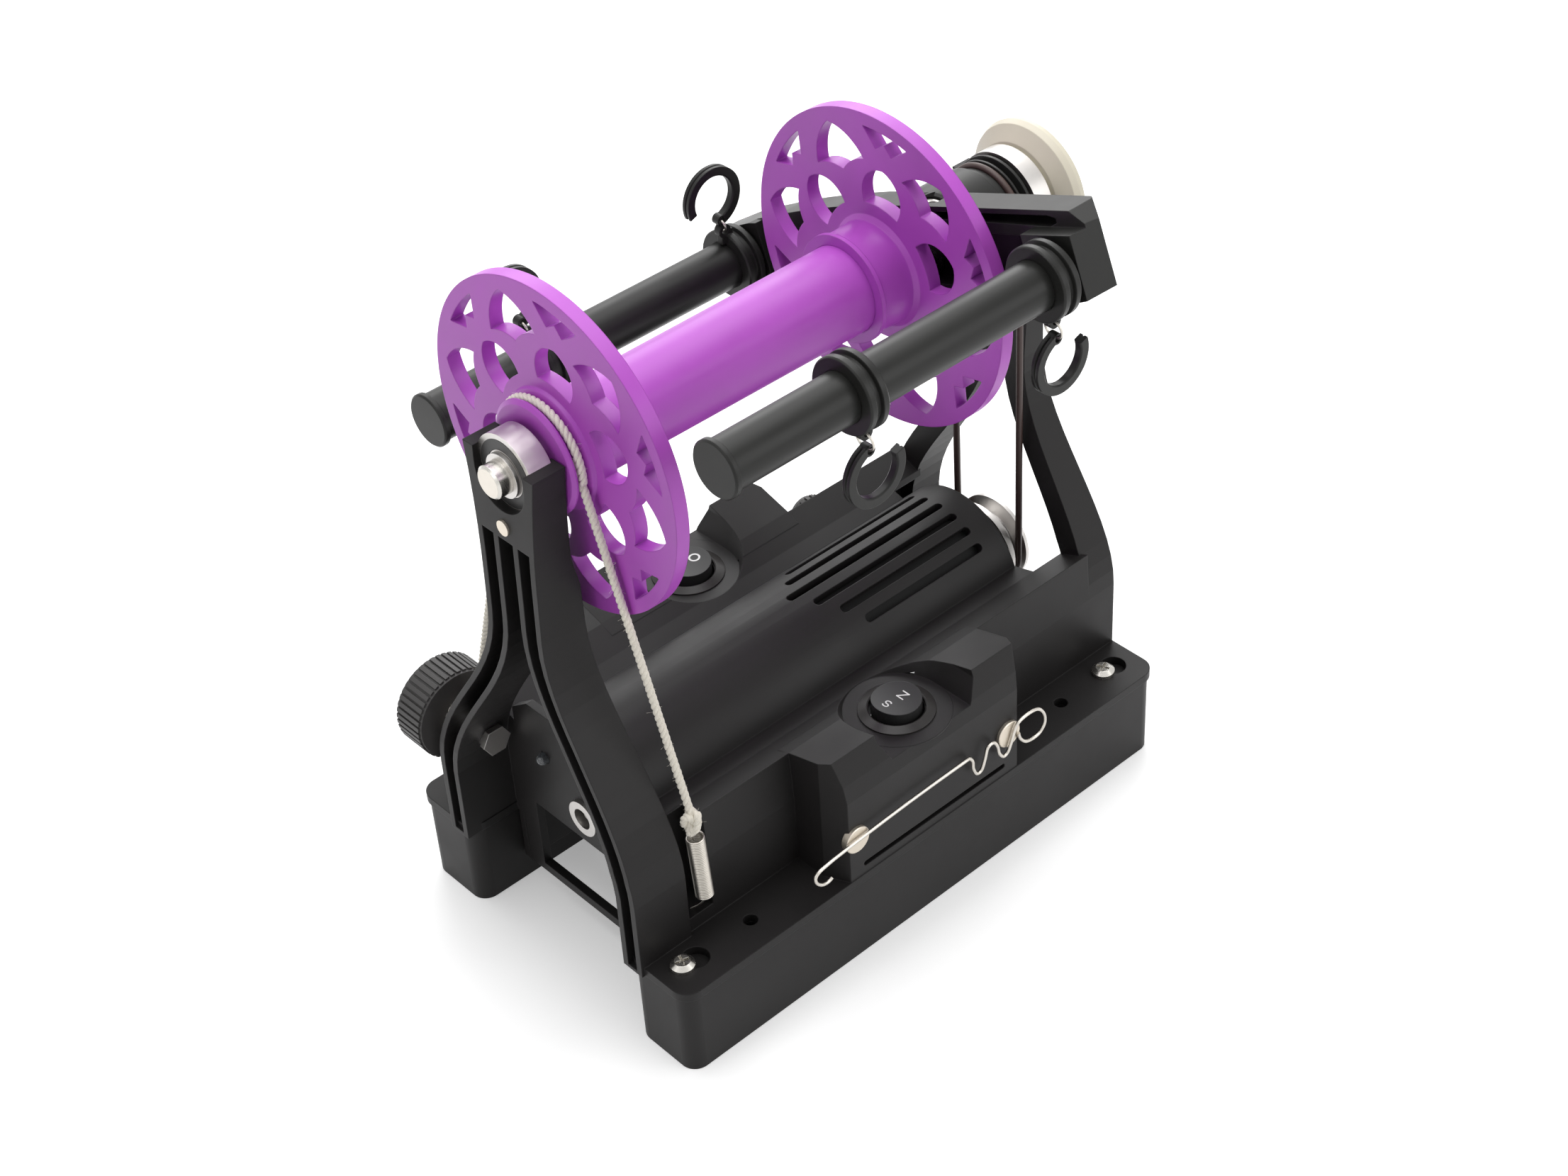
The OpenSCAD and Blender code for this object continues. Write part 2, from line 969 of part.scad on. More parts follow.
module flyer_shaft() {
    color(steel)
        on_axis(-79.3) {
            cylinder(r1 = shaft_d / 2 - 0.5, r2 = shaft_d / 2, h = 0.5);
            translate([0, 0, 0.5])
                cylinder(d = shaft_d, h = 79.3 + shaft_end - 0.5);
        }
}

// own X runs along the right arm's direction, own Z along the axis
module flyer_frame(x) {
    on_axis(x)
        rotate([0, 0, -90 - arm_tilt])
            children();
}

// height of the yoke's upper edge above its middle line, along the arm
function yoke_edge(r) =
    r > 0 ? 13 - 0.01 * r :
    13 - 4.9 * pow(-r / 55, 1.8);

module yoke_outline() {
    top = [for (r = [-66, -59, -52, -42, -32, -20, -8, 10, 61]) [r, yoke_edge(r)]];
    side = concat(top, [[66.4, 8.6]]);
    // the lower edge is the upper one turned round the middle
    polygon(concat(side, [for (q = side) -q]));
}

// the yoke seen along its thin side: the back edge is bevelled at both ends
module yoke_plan() {
    polygon([
        [-yoke_hl + 1, boss_x[0]], [yoke_hl - 1, boss_x[0]], [yoke_hl, yoke_bevel],
        [yoke_hl - 5.5, yoke_end], [5.5 - yoke_hl, yoke_end], [-yoke_hl, yoke_bevel]
    ]);
}

// two open pockets in the near face, with a lip between them
function lip_edge(r) = 10.4 - 0.032 * abs(r);

module upper_pocket() {
    polygon(concat(
        [for (r = [-32, -20, -8, 10, 54]) [r, yoke_edge(r) - 1.2]],
        [[56.4, 10.6], [56.4, lip_edge(54) + 0.8], [54, lip_edge(54)], [0, lip_edge(0)],
         [-32, lip_edge(32)]]
    ));
}

module lower_pocket(s) {
    polygon([
        [s * 5, -6.4], [s * 47, -6.4], [s * 47, lip_edge(47) - 2.7],
        [s * 5, lip_edge(5) - 2.7]
    ]);
}

module flyer_yoke() {
    color(trim_colour)
        difference() {
            union() {
                intersection() {
                    flyer_frame(boss_x[0])
                        mirror([0, 1, 0])
                            linear_extrude(yoke_end - boss_x[0])
                                yoke_outline();
                    flyer_frame(0)
                        rotate([90, 0, 0])
                            translate([0, 0, -20])
                                linear_extrude(40)
                                    yoke_plan();
                }
                on_axis(yoke_x)
                    cylinder(r = hub_r, h = hub_end - yoke_x);
                eyelet_place()
                    cylinder(r = 5.2, h = 13.6);
            }
            // the near face lies back between the two arm bosses
            flyer_frame(boss_x[0] - 1)
                translate([-49, -14, 0])
                    cube([98, 28, yoke_x - boss_x[0] + 1]);
            for (s = [-1, 1])
                flyer_frame(boss_x[0] - 1)
                    translate([-70, s * 8.6 - (s < 0 ? 14 : 0), 0])
                        cube([140, 14, yoke_x - boss_x[0] + 1]);
            flyer_frame(boss_x[0] - 1)
                translate([-70, -14, 0])
                    cube([30, 28, boss_x[1] - boss_x[0] + 1]);
            flyer_frame(yoke_x - 1)
                mirror([0, 1, 0])
                    difference() {
                        linear_extrude(6.5)
                            upper_pocket();
                        rotate([0, 0, 45])
                            translate([0, -5.2, -1])
                                cube([20, 10.4, 10]);
                    }
            flyer_frame(yoke_x - 1)
                mirror([0, 1, 0])
                    linear_extrude(7) {
                        lower_pocket(1);
                        lower_pocket(-1);
                    }
            // sockets of the arms and the bore of the hub
            for (s = [-1, 1])
                arm_place(s, boss_x[0] - 1)
                    cylinder(d = arm_d, h = arm_end - boss_x[0] + 1);
            on_axis(yoke_x - 1)
                cylinder(r = far_brg[1], h = 40);
            eyelet_place()
                cylinder(r = 4, h = 20);
        }
}

// the yarn leaves the hub here, half way between the two arms
module eyelet_place() {
    flyer_frame(48)
        rotate([0, 0, -45])
            rotate([0, 90, 0])
                children();
}

module yarn_eyelet() {
    color(chrome)
        eyelet_place()
            translate([0, 0, far_brg[1] + 0.1])
                rotate_extrude() {
                    translate([3.3, 3.9])
                        circle(r = 0.7);
                    translate([2.9, 0])
                        square([1.1, 4]);
                }
}

module orifice_tube() {
    color(steel)
        difference() {
            on_axis(tube_start)
                cylinder(r = far_brg[1], h = 81.4 - tube_start);
            on_axis(tube_start - 1)
                cylinder(d = shaft_d, h = 10);
            on_axis(shaft_end)
                cylinder(d = tube_d, h = 50);
            eyelet_place()
                cylinder(r = 2.9, h = 20);
        }
}

// the two arms differ by the side of the axis they are on and by where they start
function arm_start(s) = arm_near[s > 0 ? 0 : 1];

module arm_place(s, x) {
    on_axis(x)
        translate([-s * arm_u[2] * arm_radius, s * arm_u[1] * arm_radius, 0])
            children();
}

module arm_tube(s) {
    color(trim_colour)
        arm_place(s, arm_start(s))
            ring(arm_d / 2, arm_d / 2 - 1.2, arm_end - arm_start(s));
}

module arm_cap(s) {
    color(trim_colour)
        arm_place(s, arm_start(s) - cap_t) {
            translate([0, 0, 0.4])
                cylinder(r = cap_r, h = cap_t - 0.4);
            cylinder(r1 = cap_r - 0.4, r2 = cap_r, h = 0.4);
            translate([0, 0, cap_t - eps])
                cylinder(r = arm_d / 2 - 1.2, h = 6);
        }
}

module arm_tube_right() arm_tube(1);
module arm_tube_left() arm_tube(-1);
module arm_cap_right() arm_cap(1);
module arm_cap_left() arm_cap(-1);

// sleeve on the hub with two belt grooves
module flyer_pulley() {
    r = pulley_r;
    color(trim_colour)
        on_axis(hub_end)
            rotate_extrude()
                polygon([
                    [far_brg[1], 0], [11.2, 0], [11.2, 2.9], [r, 3.2], [r, 4.6],
                    [12.3, 4.9], [12.3, 5.5], [r, 5.8], [r, 6.8],
                    [12.6, 7.1], [12.6, 7.9], [9.4, 8.3], [9.4, 8.8], [far_brg[1], 8.8]
                ]);
}

module orifice_flange() {
    color(cream)
        on_axis(80.1)
            rotate_extrude()
                polygon([
                    [tube_d / 2 - 1, 1.3], [far_brg[1], 1.3], [far_brg[1], 0], [11.2, 0],
                    [11.2, 0.9], [13.1, 1.2], [16.85, 3.6], [17.5, 5.2],
                    [17.2, 6.6], [16.4, 6.9], [8, 6.3], [tube_d / 2 - 1, 4.6]
                ]);
}

// ---------- collars and hooks on the arms ----------

// frame at a collar's middle: own X along the arm, Z towards its hook
module collar_place(i) {
    s = collar_at[i][0];
    translate([collar_at[i][1] + collar_w / 2, s * arm_u[1] * arm_radius,
               axis_h + s * arm_u[2] * arm_radius])
        rotate([0, s > 0 ? 180 : 0, 0])
            children();
}

function side(i) = collar_at[i][0] > 0 ? 0 : 1;
function lug(i) = [lug_x, lug_z[side(i)]];
function hook_mid(i) = [hook_x, hook_z[side(i)]];
function eye(i) = hook_mid(i) + (hook_r - hook_t / 2) * [cos(hook_from), sin(hook_from)];

module hook_collar(i) {
    inner = arm_d / 2 + running;
    half = collar_w / 2;
    color(trim_colour)
        collar_place(i)
            difference() {
                union() {
                    rotate([0, 90, 0])
                        rotate_extrude()
                            polygon([
                                [inner, -half], [collar_r - 0.3, -half],
                                [collar_r, 0.4 - half], [collar_r, -1],
                                [8, -0.7], [8, 0.7], [collar_r, 1],
                                [collar_r, half - 0.4], [collar_r - 0.3, half], [inner, half]
                            ]);
                    // lug that holds the wire loop
                    translate([lug_x, 0, lug(i)[1]])
                        rotate([90, 0, 0])
                            cylinder(r = lug_r, h = 2, center = true);
                    block([lug_x - 1, -1, collar_r - 2.4], [lug_x + 2.4, 1, lug(i)[1]]);
                }
                translate([lug_x, 0, lug(i)[1]])
                    rotate([90, 0, 0])
                        cylinder(r = eyelet_r, h = 5, center = true);
                rotate([0, 90, 0])
                    cylinder(r = inner, h = 3 * collar_w, center = true);
            }
}

// a small loop of wire through the lug and the hook's eye
module hook_wire(i) {
    span = eye(i) - lug(i);
    mid = (eye(i) + lug(i)) / 2;
    color(chrome)
        collar_place(i)
            translate([mid[0], 0, mid[1]])
                rotate([0, 90 - atan2(span[1], span[0]), 0])
                    rotate([0, 90, 0])
                        rotate_extrude()
                            translate([norm(span) / 2, 0])
                                circle(d = loop_wire_d);
}

// open ring with a groove round its outside and an eye at one end
module yarn_hook(i) {
    inner = hook_r - hook_t;
    half = hook_w / 2;
    color(trim_colour)
        collar_place(i)
            difference() {
                union() {
                    translate([hook_x, 0, hook_mid(i)[1]])
                        rotate([90, 0, 0])
                            rotate([0, 0, hook_from])
                                rotate_extrude(angle = hook_sweep)
                                    polygon([
                                        [inner, 0.3 - half], [inner + 0.3, -half],
                                        [hook_r, -half], [hook_r, -0.3], [hook_r - 0.5, 0],
                                        [hook_r, 0.3], [hook_r, half],
                                        [inner + 0.3, half], [inner, half - 0.3]
                                    ]);
                    translate([eye(i)[0], 0, eye(i)[1]])
                        rotate([90, 0, 0])
                            cylinder(r = eye_r, h = hook_w, center = true);
                }
                translate([eye(i)[0], 0, eye(i)[1]])
                    rotate([90, 0, 0])
                        cylinder(r = eyelet_r, h = 5, center = true);
            }
}

module hook_collar_1() hook_collar(0);
module hook_collar_2() hook_collar(1);
module hook_collar_3() hook_collar(2);
module hook_collar_4() hook_collar(3);
module hook_wire_1() hook_wire(0);
module hook_wire_2() hook_wire(1);
module hook_wire_3() hook_wire(2);
module hook_wire_4() hook_wire(3);
module yarn_hook_1() yarn_hook(0);
module yarn_hook_2() yarn_hook(1);
module yarn_hook_3() yarn_hook(2);
module yarn_hook_4() yarn_hook(3);

// ---------- bobbin ----------

// gothic window close to the hub
module petal_window() {
    difference() {
        intersection() {
            translate([20, 1.1])
                circle(r = 7.3);
            translate([20, -1.1])
                circle(r = 7.3);
        }
        circle(r = 17.3);
    }
}

// large window between two petals
module arch_window() {
    difference() {
        intersection() {
            translate([23.8, 4.9])
                circle(r = 13.7);
            translate([23.8, -4.9])
                circle(r = 13.7);
        }
        for (s = [-1, 1])
            translate([15.8, s * 6.6])
                circle(r = 11.3);
        circle(r = 24.4);
    }
}

// small window near the rim with a tooth in the middle
module tooth_window() {
    intersection() {
        circle(r = 36.9);
        polygon([
            [40.4, 8.2], [35.9, 6.8], [32.1, 2.5], [34.2, 0], [32.1, -2.5],
            [35.9, -6.8], [40.4, -8.2]
        ]);
    }
}

module flange_outline(turn) {
    scale_r = flange_d / 80;
    difference() {
        circle(r = flange_d / 2);
        scale([scale_r, scale_r])
            for (k = [0:petals - 1]) {
                rotate(turn + 360 * k / petals) {
                    petal_window();
                    tooth_window();
                }
                rotate(turn + 360 * (k + 0.5) / petals)
                    arch_window();
            }
    }
}

module bobbin_core() {
    color(purple)
        on_axis(bobbin_x + flange_t)
            difference() {
                cylinder(d1 = barrel_d, d2 = barrel_d + 0.8,
                    h = sleeve_x - bobbin_x - flange_t + 3);
                translate([0, 0, -1])
                    cylinder(r = barrel_d / 2 - barrel_wall, h = 200);
            }
}

module bobbin_flange_near() {
    color(purple)
        difference() {
            union() {
                on_axis(bobbin_x)
                    linear_extrude(flange_t)
                        flange_outline(10);
                // brake pulley
                on_axis(bobbin_x - 5.3)
                    rotate_extrude()
                        polygon([
                            [0, 0], [12.6, 0], [13.6, 0.7], [13.6, 1.1],
                            [band_r - 0.3, 1.9], [band_r - 0.3, 3.5],
                            [14.2, 4.4], [14.6, 5.3], [14.6, 5.4], [0, 5.4]
                        ]);
                // spigot inside the barrel
                on_axis(bobbin_x + flange_t - eps)
                    cylinder(r = barrel_d / 2 - barrel_wall, h = 6);
            }
            on_axis(bobbin_x - 6)
                cylinder(r = bush_r, h = 20);
        }
}

module bobbin_flange_far() {
    color(purple)
        difference() {
            union() {
                on_axis(bobbin_end - flange_t)
                    linear_extrude(flange_t)
                        flange_outline(6);
                on_axis(sleeve_x + 1.2)
                    cylinder(r1 = sleeve_r - 0.3, r2 = sleeve_r, h = bobbin_end - flange_t - sleeve_x - 1.2 + eps);
                on_axis(sleeve_x)
                    cylinder(r = sleeve_r + 0.6, h = 1.2);
                on_axis(bobbin_end - flange_t - 1)
                    cylinder(r1 = sleeve_r - 0.1, r2 = sleeve_r + 1.2, h = 1 + eps);
            }
            on_axis(sleeve_x - 1)
                cylinder(r = bush_r, h = 20);
            on_axis(sleeve_x - 1)
                cylinder(r = barrel_d / 2 + 0.4, h = 4);
            on_axis(sleeve_x + 3 - eps)
                cylinder(r = 9.4, h = bobbin_end - sleeve_x - 9);
            on_axis(bobbin_end - 10)
                cylinder(r = bush_r, h = 20);
        }
}

module bobbin_bushings() {
    color(cream) {
        on_axis(bobbin_x - 5.3)
            ring(bush_r, shaft_d / 2 + running, 12);
        on_axis(bobbin_end - 6)
            ring(bush_r, shaft_d / 2 + running, 6.4);
    }
}

// ---------- brake ----------

// from the spring over the bobbin's groove and down to the knob's spindle
module brake_band() {
    r = band_r + band_d / 2 + 0.1;
    spindle = [knob_x, near_foot + 1.6, knob_z];
    wind = spindle_r + band_d / 2 + 0.3;
    knot = [for (h = [2, 2.6, 3.8, 5, 6.4, 7.2])
        [spring_x, spring_y + 0.22 * h, spring_high + h]];
    over = [for (k = [0:14])
        let (a = 191 - 204 * k / 14)
        [brake_x, r * cos(a), axis_h + r * sin(a)]];
    round_spindle = [for (k = [0:11])
        let (a = 20 - 290 * k / 11)
        spindle + [wind * cos(a), 0.06 * k, wind * sin(a)]];
    path = concat(knot, over, round_spindle);
    radii = concat([1, 1.9, 2.4, 2.2, 1.6, 1.1], even(over, band_d / 2), even(round_spindle, band_d / 2));
    color(cotton)
        tube(path, radii, [1, 0, 0], 8);
}

// close-wound tension spring with a hook at each end
module brake_spring() {
    r = (spring_od - spring_wire) / 2;
    pitch = (spring_high - spring_low) / spring_turns;
    steps = spring_turns * ring_steps;
    coil = [for (i = [0:steps])
        let (a = 360 * i / ring_steps)
        [spring_x + r * cos(a), spring_y + r * sin(a), spring_low + pitch * i / ring_steps]];
    tail = [[spring_x, spring_y, deck_h + 0.4], [spring_x, spring_y, spring_low - 5],
            [spring_x + r * 0.5, spring_y - r * 0.6, spring_low - 3],
            [spring_x + r * 0.9, spring_y - r * 0.4, spring_low - 1]];
    eye = [[spring_x + r * 0.9, spring_y + r * 0.4, spring_high + 0.6],
           [spring_x + r * 0.4, spring_y + r * 0.3, spring_high + 1.2],
           [spring_x, spring_y, spring_high + 1.4]];
    path = concat(tail, coil, eye);
    color(chrome)
        tube(path, even(path, spring_wire / 2), [1, 0, 0], 6);
    gap = pitch - spring_wire;
    echo("gap between spring curls", gap);
}

module brake_screw() {
    color(chrome)
        translate([knob_x, 0, knob_z])
            rotate([-90, 0, 0]) {
                translate([0, 0, 26.5])
                    cylinder(r = spindle_r, h = near_foot + 12 - 26.5);
                translate([0, 0, 25])
                    cylinder(r = 4, h = 1.6, $fn = 6);
            }
}

module brake_knob() {
    color(trim_colour)
        difference() {
            translate([knob_x, near_foot + 3.2, knob_z])
                rotate([-90, 0, 0])
                    ribbed_knob(knob_r, knob_w, 44, knob_r - 1.6);
            translate([knob_x, near_foot, knob_z])
                rotate([-90, 0, 0])
                    cylinder(r = spindle_r, h = 12);
        }
}

// ---------- threading hook ----------

module threading_hook() {
    y = hook_y;
    loop = [for (k = [0:10])
        let (a = 200 - 330 * k / 10)
        [34.5 + 5.4 * cos(a), y, 38 + 3.4 * sin(a)]];
    path = concat(
        [[-38.5, y, 35], [-39.8, y, 36], [-39.8, y, 37.6], [-38.4, y, 38.5],
         [-25.5, y, 38], [6, y, 37.6], [8, y, 36.6], [8.6, y, 33.8], [10, y, 32.8],
         [11.6, y, 34], [13, y, 38.4], [14.4, y, 39.8], [16, y, 38.6], [17.4, y, 35.4],
         [19, y, 34.8], [21, y, 36.6], [24, y, 39.6], [27, y, 39]],
        loop
    );
    color(steel)
        tube(path, even(path, hook_wire_d / 2), [0, 1, 0], 8);
}

module hook_magnets() {
    color(chrome)
        for (s = [-1, 1])
            translate([s * magnet_x, -pod_y - 0.9, magnet_z])
                rotate([-90, 0, 0])
                    cylinder(d = magnet_d, h = 1.9);
}

module cradle_magnet() {
    color(chrome)
        translate([-77.5, 0, axis_h - 12.9])
            rotate([0, 90, 0])
                cylinder(d = 3.8, h = 2.1);
}

// ---------- parts ----------

body_shell();
foot_left();
foot_right();
foot_screws();
dc_jack();
indicator_led();
circuit_board();
speed_pot();
speed_knob();
power_bezel();
power_rocker();
direction_bezel();
direction_rocker();
motor();
motor_shaft();
motor_screws();
motor_pulley();
drive_belt();
near_bearing_outer();
near_bearing_inner();
bearing_balls();
shaft_ring();
flyer_shaft();
flyer_yoke();
arm_tube_right();
arm_tube_left();
arm_cap_right();
arm_cap_left();
flyer_pulley();
yarn_eyelet();
orifice_tube();
orifice_bearing_outer();
orifice_bearing_inner();
orifice_flange();
hook_collar_1();
hook_collar_2();
hook_collar_3();
hook_collar_4();
hook_wire_1();
hook_wire_2();
hook_wire_3();
hook_wire_4();
yarn_hook_1();
yarn_hook_2();
yarn_hook_3();
yarn_hook_4();
bobbin_core();
bobbin_flange_near();
bobbin_flange_far();
bobbin_bushings();
brake_band();
brake_spring();
brake_screw();
brake_knob();
threading_hook();
hook_magnets();
cradle_magnet();
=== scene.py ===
# Looks of the electric yarn spinner: materials, cord, wire, small marks, light and camera.
# Lengths are written in millimetres, and mm() or MM turns them into metres.
import math
import random

import bpy
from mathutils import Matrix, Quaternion, Vector


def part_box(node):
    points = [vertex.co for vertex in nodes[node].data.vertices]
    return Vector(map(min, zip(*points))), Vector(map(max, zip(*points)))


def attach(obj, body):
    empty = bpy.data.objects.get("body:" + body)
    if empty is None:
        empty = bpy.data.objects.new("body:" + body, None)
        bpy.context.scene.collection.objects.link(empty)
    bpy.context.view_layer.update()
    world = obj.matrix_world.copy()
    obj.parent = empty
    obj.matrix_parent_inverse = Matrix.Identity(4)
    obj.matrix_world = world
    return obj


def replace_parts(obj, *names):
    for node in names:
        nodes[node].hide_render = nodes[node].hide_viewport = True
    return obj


MM = 0.001

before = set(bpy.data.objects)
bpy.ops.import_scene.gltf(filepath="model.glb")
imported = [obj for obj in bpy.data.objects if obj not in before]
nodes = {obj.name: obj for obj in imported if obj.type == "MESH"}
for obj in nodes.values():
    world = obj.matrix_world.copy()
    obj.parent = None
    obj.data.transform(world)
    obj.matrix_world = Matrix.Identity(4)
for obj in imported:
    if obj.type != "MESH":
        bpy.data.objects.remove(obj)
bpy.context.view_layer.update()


def mm(*spot):
    """A place or a way in mm, as a vector in metres."""
    return Vector(spot) * MM


def low_corner(node):
    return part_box(node)[0] / MM


def middle(node):
    low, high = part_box(node)
    return (low + high) / 2 / MM


AXIS_Z = middle("flyer_pulley").z
MOTOR_Z = middle("motor_pulley").z
BELT_X = middle("drive_belt").x
SWITCH_Y = middle("power_bezel").y
BEARING_X = low_corner("near_bearing_outer").x
SHAFT_END_X = low_corner("flyer_shaft").x
MAGNET_Y = low_corner("hook_magnets").y
BRAKE_X, BRAKE_Z = middle("brake_knob").x, middle("brake_knob").z


# ---------- materials ----------

def new_material(name, colour, roughness, metallic=0.0):
    mat = bpy.data.materials.new(name)
    mat.use_nodes = True
    bsdf = mat.node_tree.nodes["Principled BSDF"]
    bsdf.inputs["Base Color"].default_value = (*colour, 1)
    bsdf.inputs["Roughness"].default_value = roughness
    bsdf.inputs["Metallic"].default_value = metallic
    return mat, mat.node_tree, bsdf


def noise(tree, scale, detail=4.0, stretch=(1, 1, 1)):
    """Noise in object coordinates, so it stays on the piece when the piece moves."""
    where = tree.nodes.new("ShaderNodeTexCoord")
    mapping = tree.nodes.new("ShaderNodeMapping")
    mapping.inputs["Scale"].default_value = stretch
    texture = tree.nodes.new("ShaderNodeTexNoise")
    texture.inputs["Scale"].default_value = scale
    texture.inputs["Detail"].default_value = detail
    tree.links.new(where.outputs["Object"], mapping.inputs["Vector"])
    tree.links.new(mapping.outputs["Vector"], texture.inputs["Vector"])
    return texture.outputs["Fac"]


def spread(tree, value, low, high):
    """Noise from 0.3 to 0.7 laid over the range low to high."""
    node = tree.nodes.new("ShaderNodeMapRange")
    node.inputs["From Min"].default_value = 0.3
    node.inputs["From Max"].default_value = 0.7
    node.inputs["To Min"].default_value = low
    node.inputs["To Max"].default_value = high
    tree.links.new(value, node.inputs["Value"])
    return node.outputs["Result"]


def rounded(tree, radius):
    """Normals that round every sharp edge by radius."""
    node = tree.nodes.new("ShaderNodeBevel")
    node.samples = 4
    node.inputs["Radius"].default_value = radius
    return node.outputs["Normal"]


def bump(tree, height, strength, distance, normal=None):
    """Normals that follow a height, laid over the given normals."""
    node = tree.nodes.new("ShaderNodeBump")
    node.inputs["Strength"].default_value = strength
    node.inputs["Distance"].default_value = distance
    tree.links.new(height, node.inputs["Height"])
    if normal:
        tree.links.new(normal, node.inputs["Normal"])
    return node.outputs["Normal"]


def tint(tree, bsdf, value, dark, light):
    """The base colour wanders between dark and light."""
    mix = tree.nodes.new("ShaderNodeMix")
    mix.data_type = "RGBA"
    mix.inputs["A"].default_value = (*dark, 1)
    mix.inputs["B"].default_value = (*light, 1)
    tree.links.new(spread(tree, value, 0, 1), mix.inputs["Factor"])
    tree.links.new(mix.outputs["Result"], bsdf.inputs["Base Color"])


CLOUDS = 45
SPARK_TEXTURE = 2600
TURNING_LINES = 900
SOFT_PATCHES = 90
FIBRES = 5200
LENS_RIPPLE = 800


def plastic(name, colour, roughness, grain=0.25, edge=0.35, gloss=0.4):
    """Moulded plastic: fine spark texture, soft edges of so many mm, slightly uneven sheen."""
    mat, tree, bsdf = new_material(name, colour, roughness)
    bsdf.inputs["Specular IOR Level"].default_value = gloss
    clouds = noise(tree, CLOUDS)
    tree.links.new(spread(tree, clouds, roughness - 0.05, roughness + 0.05), bsdf.inputs["Roughness"])
    tint(tree, bsdf, clouds, [c * 0.93 for c in colour], [min(1, c * 1.07) for c in colour])
    texture = noise(tree, SPARK_TEXTURE, 2)
    normal = bump(tree, texture, grain, 0.05 * MM, rounded(tree, edge * MM))
    tree.links.new(normal, bsdf.inputs["Normal"])
    return mat


def metal(name, colour, roughness, stretch=(1, 1, 1), lines=0.04, edge=0.15):
    """Bare metal with fine turning or drawing lines along the short side of stretch."""
    mat, tree, bsdf = new_material(name, colour, roughness, 1.0)
    streaks = noise(tree, TURNING_LINES, 2, stretch)
    tree.links.new(spread(tree, streaks, roughness * 0.94, roughness * 1.08), bsdf.inputs["Roughness"])
    tint(tree, bsdf, noise(tree, SOFT_PATCHES), [c * 0.95 for c in colour], colour)
    normal = bump(tree, streaks, lines, 0.02 * MM, rounded(tree, edge * MM))
    tree.links.new(normal, bsdf.inputs["Normal"])
    return mat


def laid_cotton(name, colour):
    mat, tree, bsdf = new_material(name, colour, 0.9)
    fibres = noise(tree, FIBRES, 5, (1, 1, 0.35))
    tint(tree, bsdf, fibres, [c * 0.78 for c in colour], colour)
    tree.links.new(bump(tree, fibres, 0.7, 0.15 * MM), bsdf.inputs["Normal"])
    bsdf.inputs["Sheen Weight"].default_value = 0.3
    return mat


def clear_plastic(name, colour):
    mat, tree, bsdf = new_material(name, colour, 0.12)
    bsdf.inputs["Transmission Weight"].default_value = 0.7
    bsdf.inputs["IOR"].default_value = 1.5
    tree.links.new(bump(tree, noise(tree, LENS_RIPPLE), 0.05, 0.02 * MM), bsdf.inputs["Normal"])
    return mat


black = plastic("black_plastic", (0.013, 0.012, 0.012), 0.46, gloss=0.2)
black_flyer = plastic("flyer_plastic", (0.015, 0.015, 0.014), 0.38, grain=0.15, gloss=0.22)
black_switch = plastic("switch_plastic", (0.018, 0.018, 0.018), 0.42, grain=0.1, edge=0.25, gloss=0.25)
black_bezel = plastic("bezel_plastic", (0.026, 0.024, 0.023), 0.32, grain=0.1, edge=0.2, gloss=0.25)
# the knobs' black is lighter than the other black plastics: painted light, standing in for the light that
# falls on the knobs
knob_black_painted_light = plastic("knob_plastic_painted_light", (0.048, 0.046, 0.045), 0.5, grain=0.35, edge=0.2)
purple = plastic("purple_plastic", (0.42, 0.074, 0.50), 0.38, grain=0.1, edge=0.4)
cream = plastic("cream_plastic", (0.62, 0.58, 0.47), 0.38, grain=0.08)
white_ink = plastic("white_ink", (0.80, 0.80, 0.78), 0.55, grain=0.05, edge=0.05)
dark_shield = plastic("bearing_shield", (0.035, 0.034, 0.034), 0.42, grain=0.1, edge=0.1)
# the motor is near black as painted shade: it keeps the slots into the housing dark
motor_shade_black = plastic("motor_painted_shade", (0.012, 0.012, 0.012), 0.6, gloss=0.2)
belt_rubber = plastic("belt_rubber", (0.050, 0.030, 0.026), 0.45, grain=0.2)
board_green = plastic("board_lacquer", (0.02, 0.14, 0.06), 0.3)
steel = metal("turned_steel", (0.60, 0.58, 0.54), 0.26, (3, 1, 1))
pale_steel = metal("ground_steel", (0.70, 0.66, 0.60), 0.5, lines=0.03)
chrome = metal("polished_steel", (0.60, 0.58, 0.56), 0.33, lines=0.005)
nickel = metal("nickel_plate", (0.66, 0.60, 0.51), 0.42, lines=0.02)
wire_metal = metal("drawn_wire", (0.58, 0.55, 0.50), 0.3, lines=0.01)
cotton = laid_cotton("cotton", (0.92, 0.87, 0.76))
lens = clear_plastic("led_lens", (0.30, 0.32, 0.34))

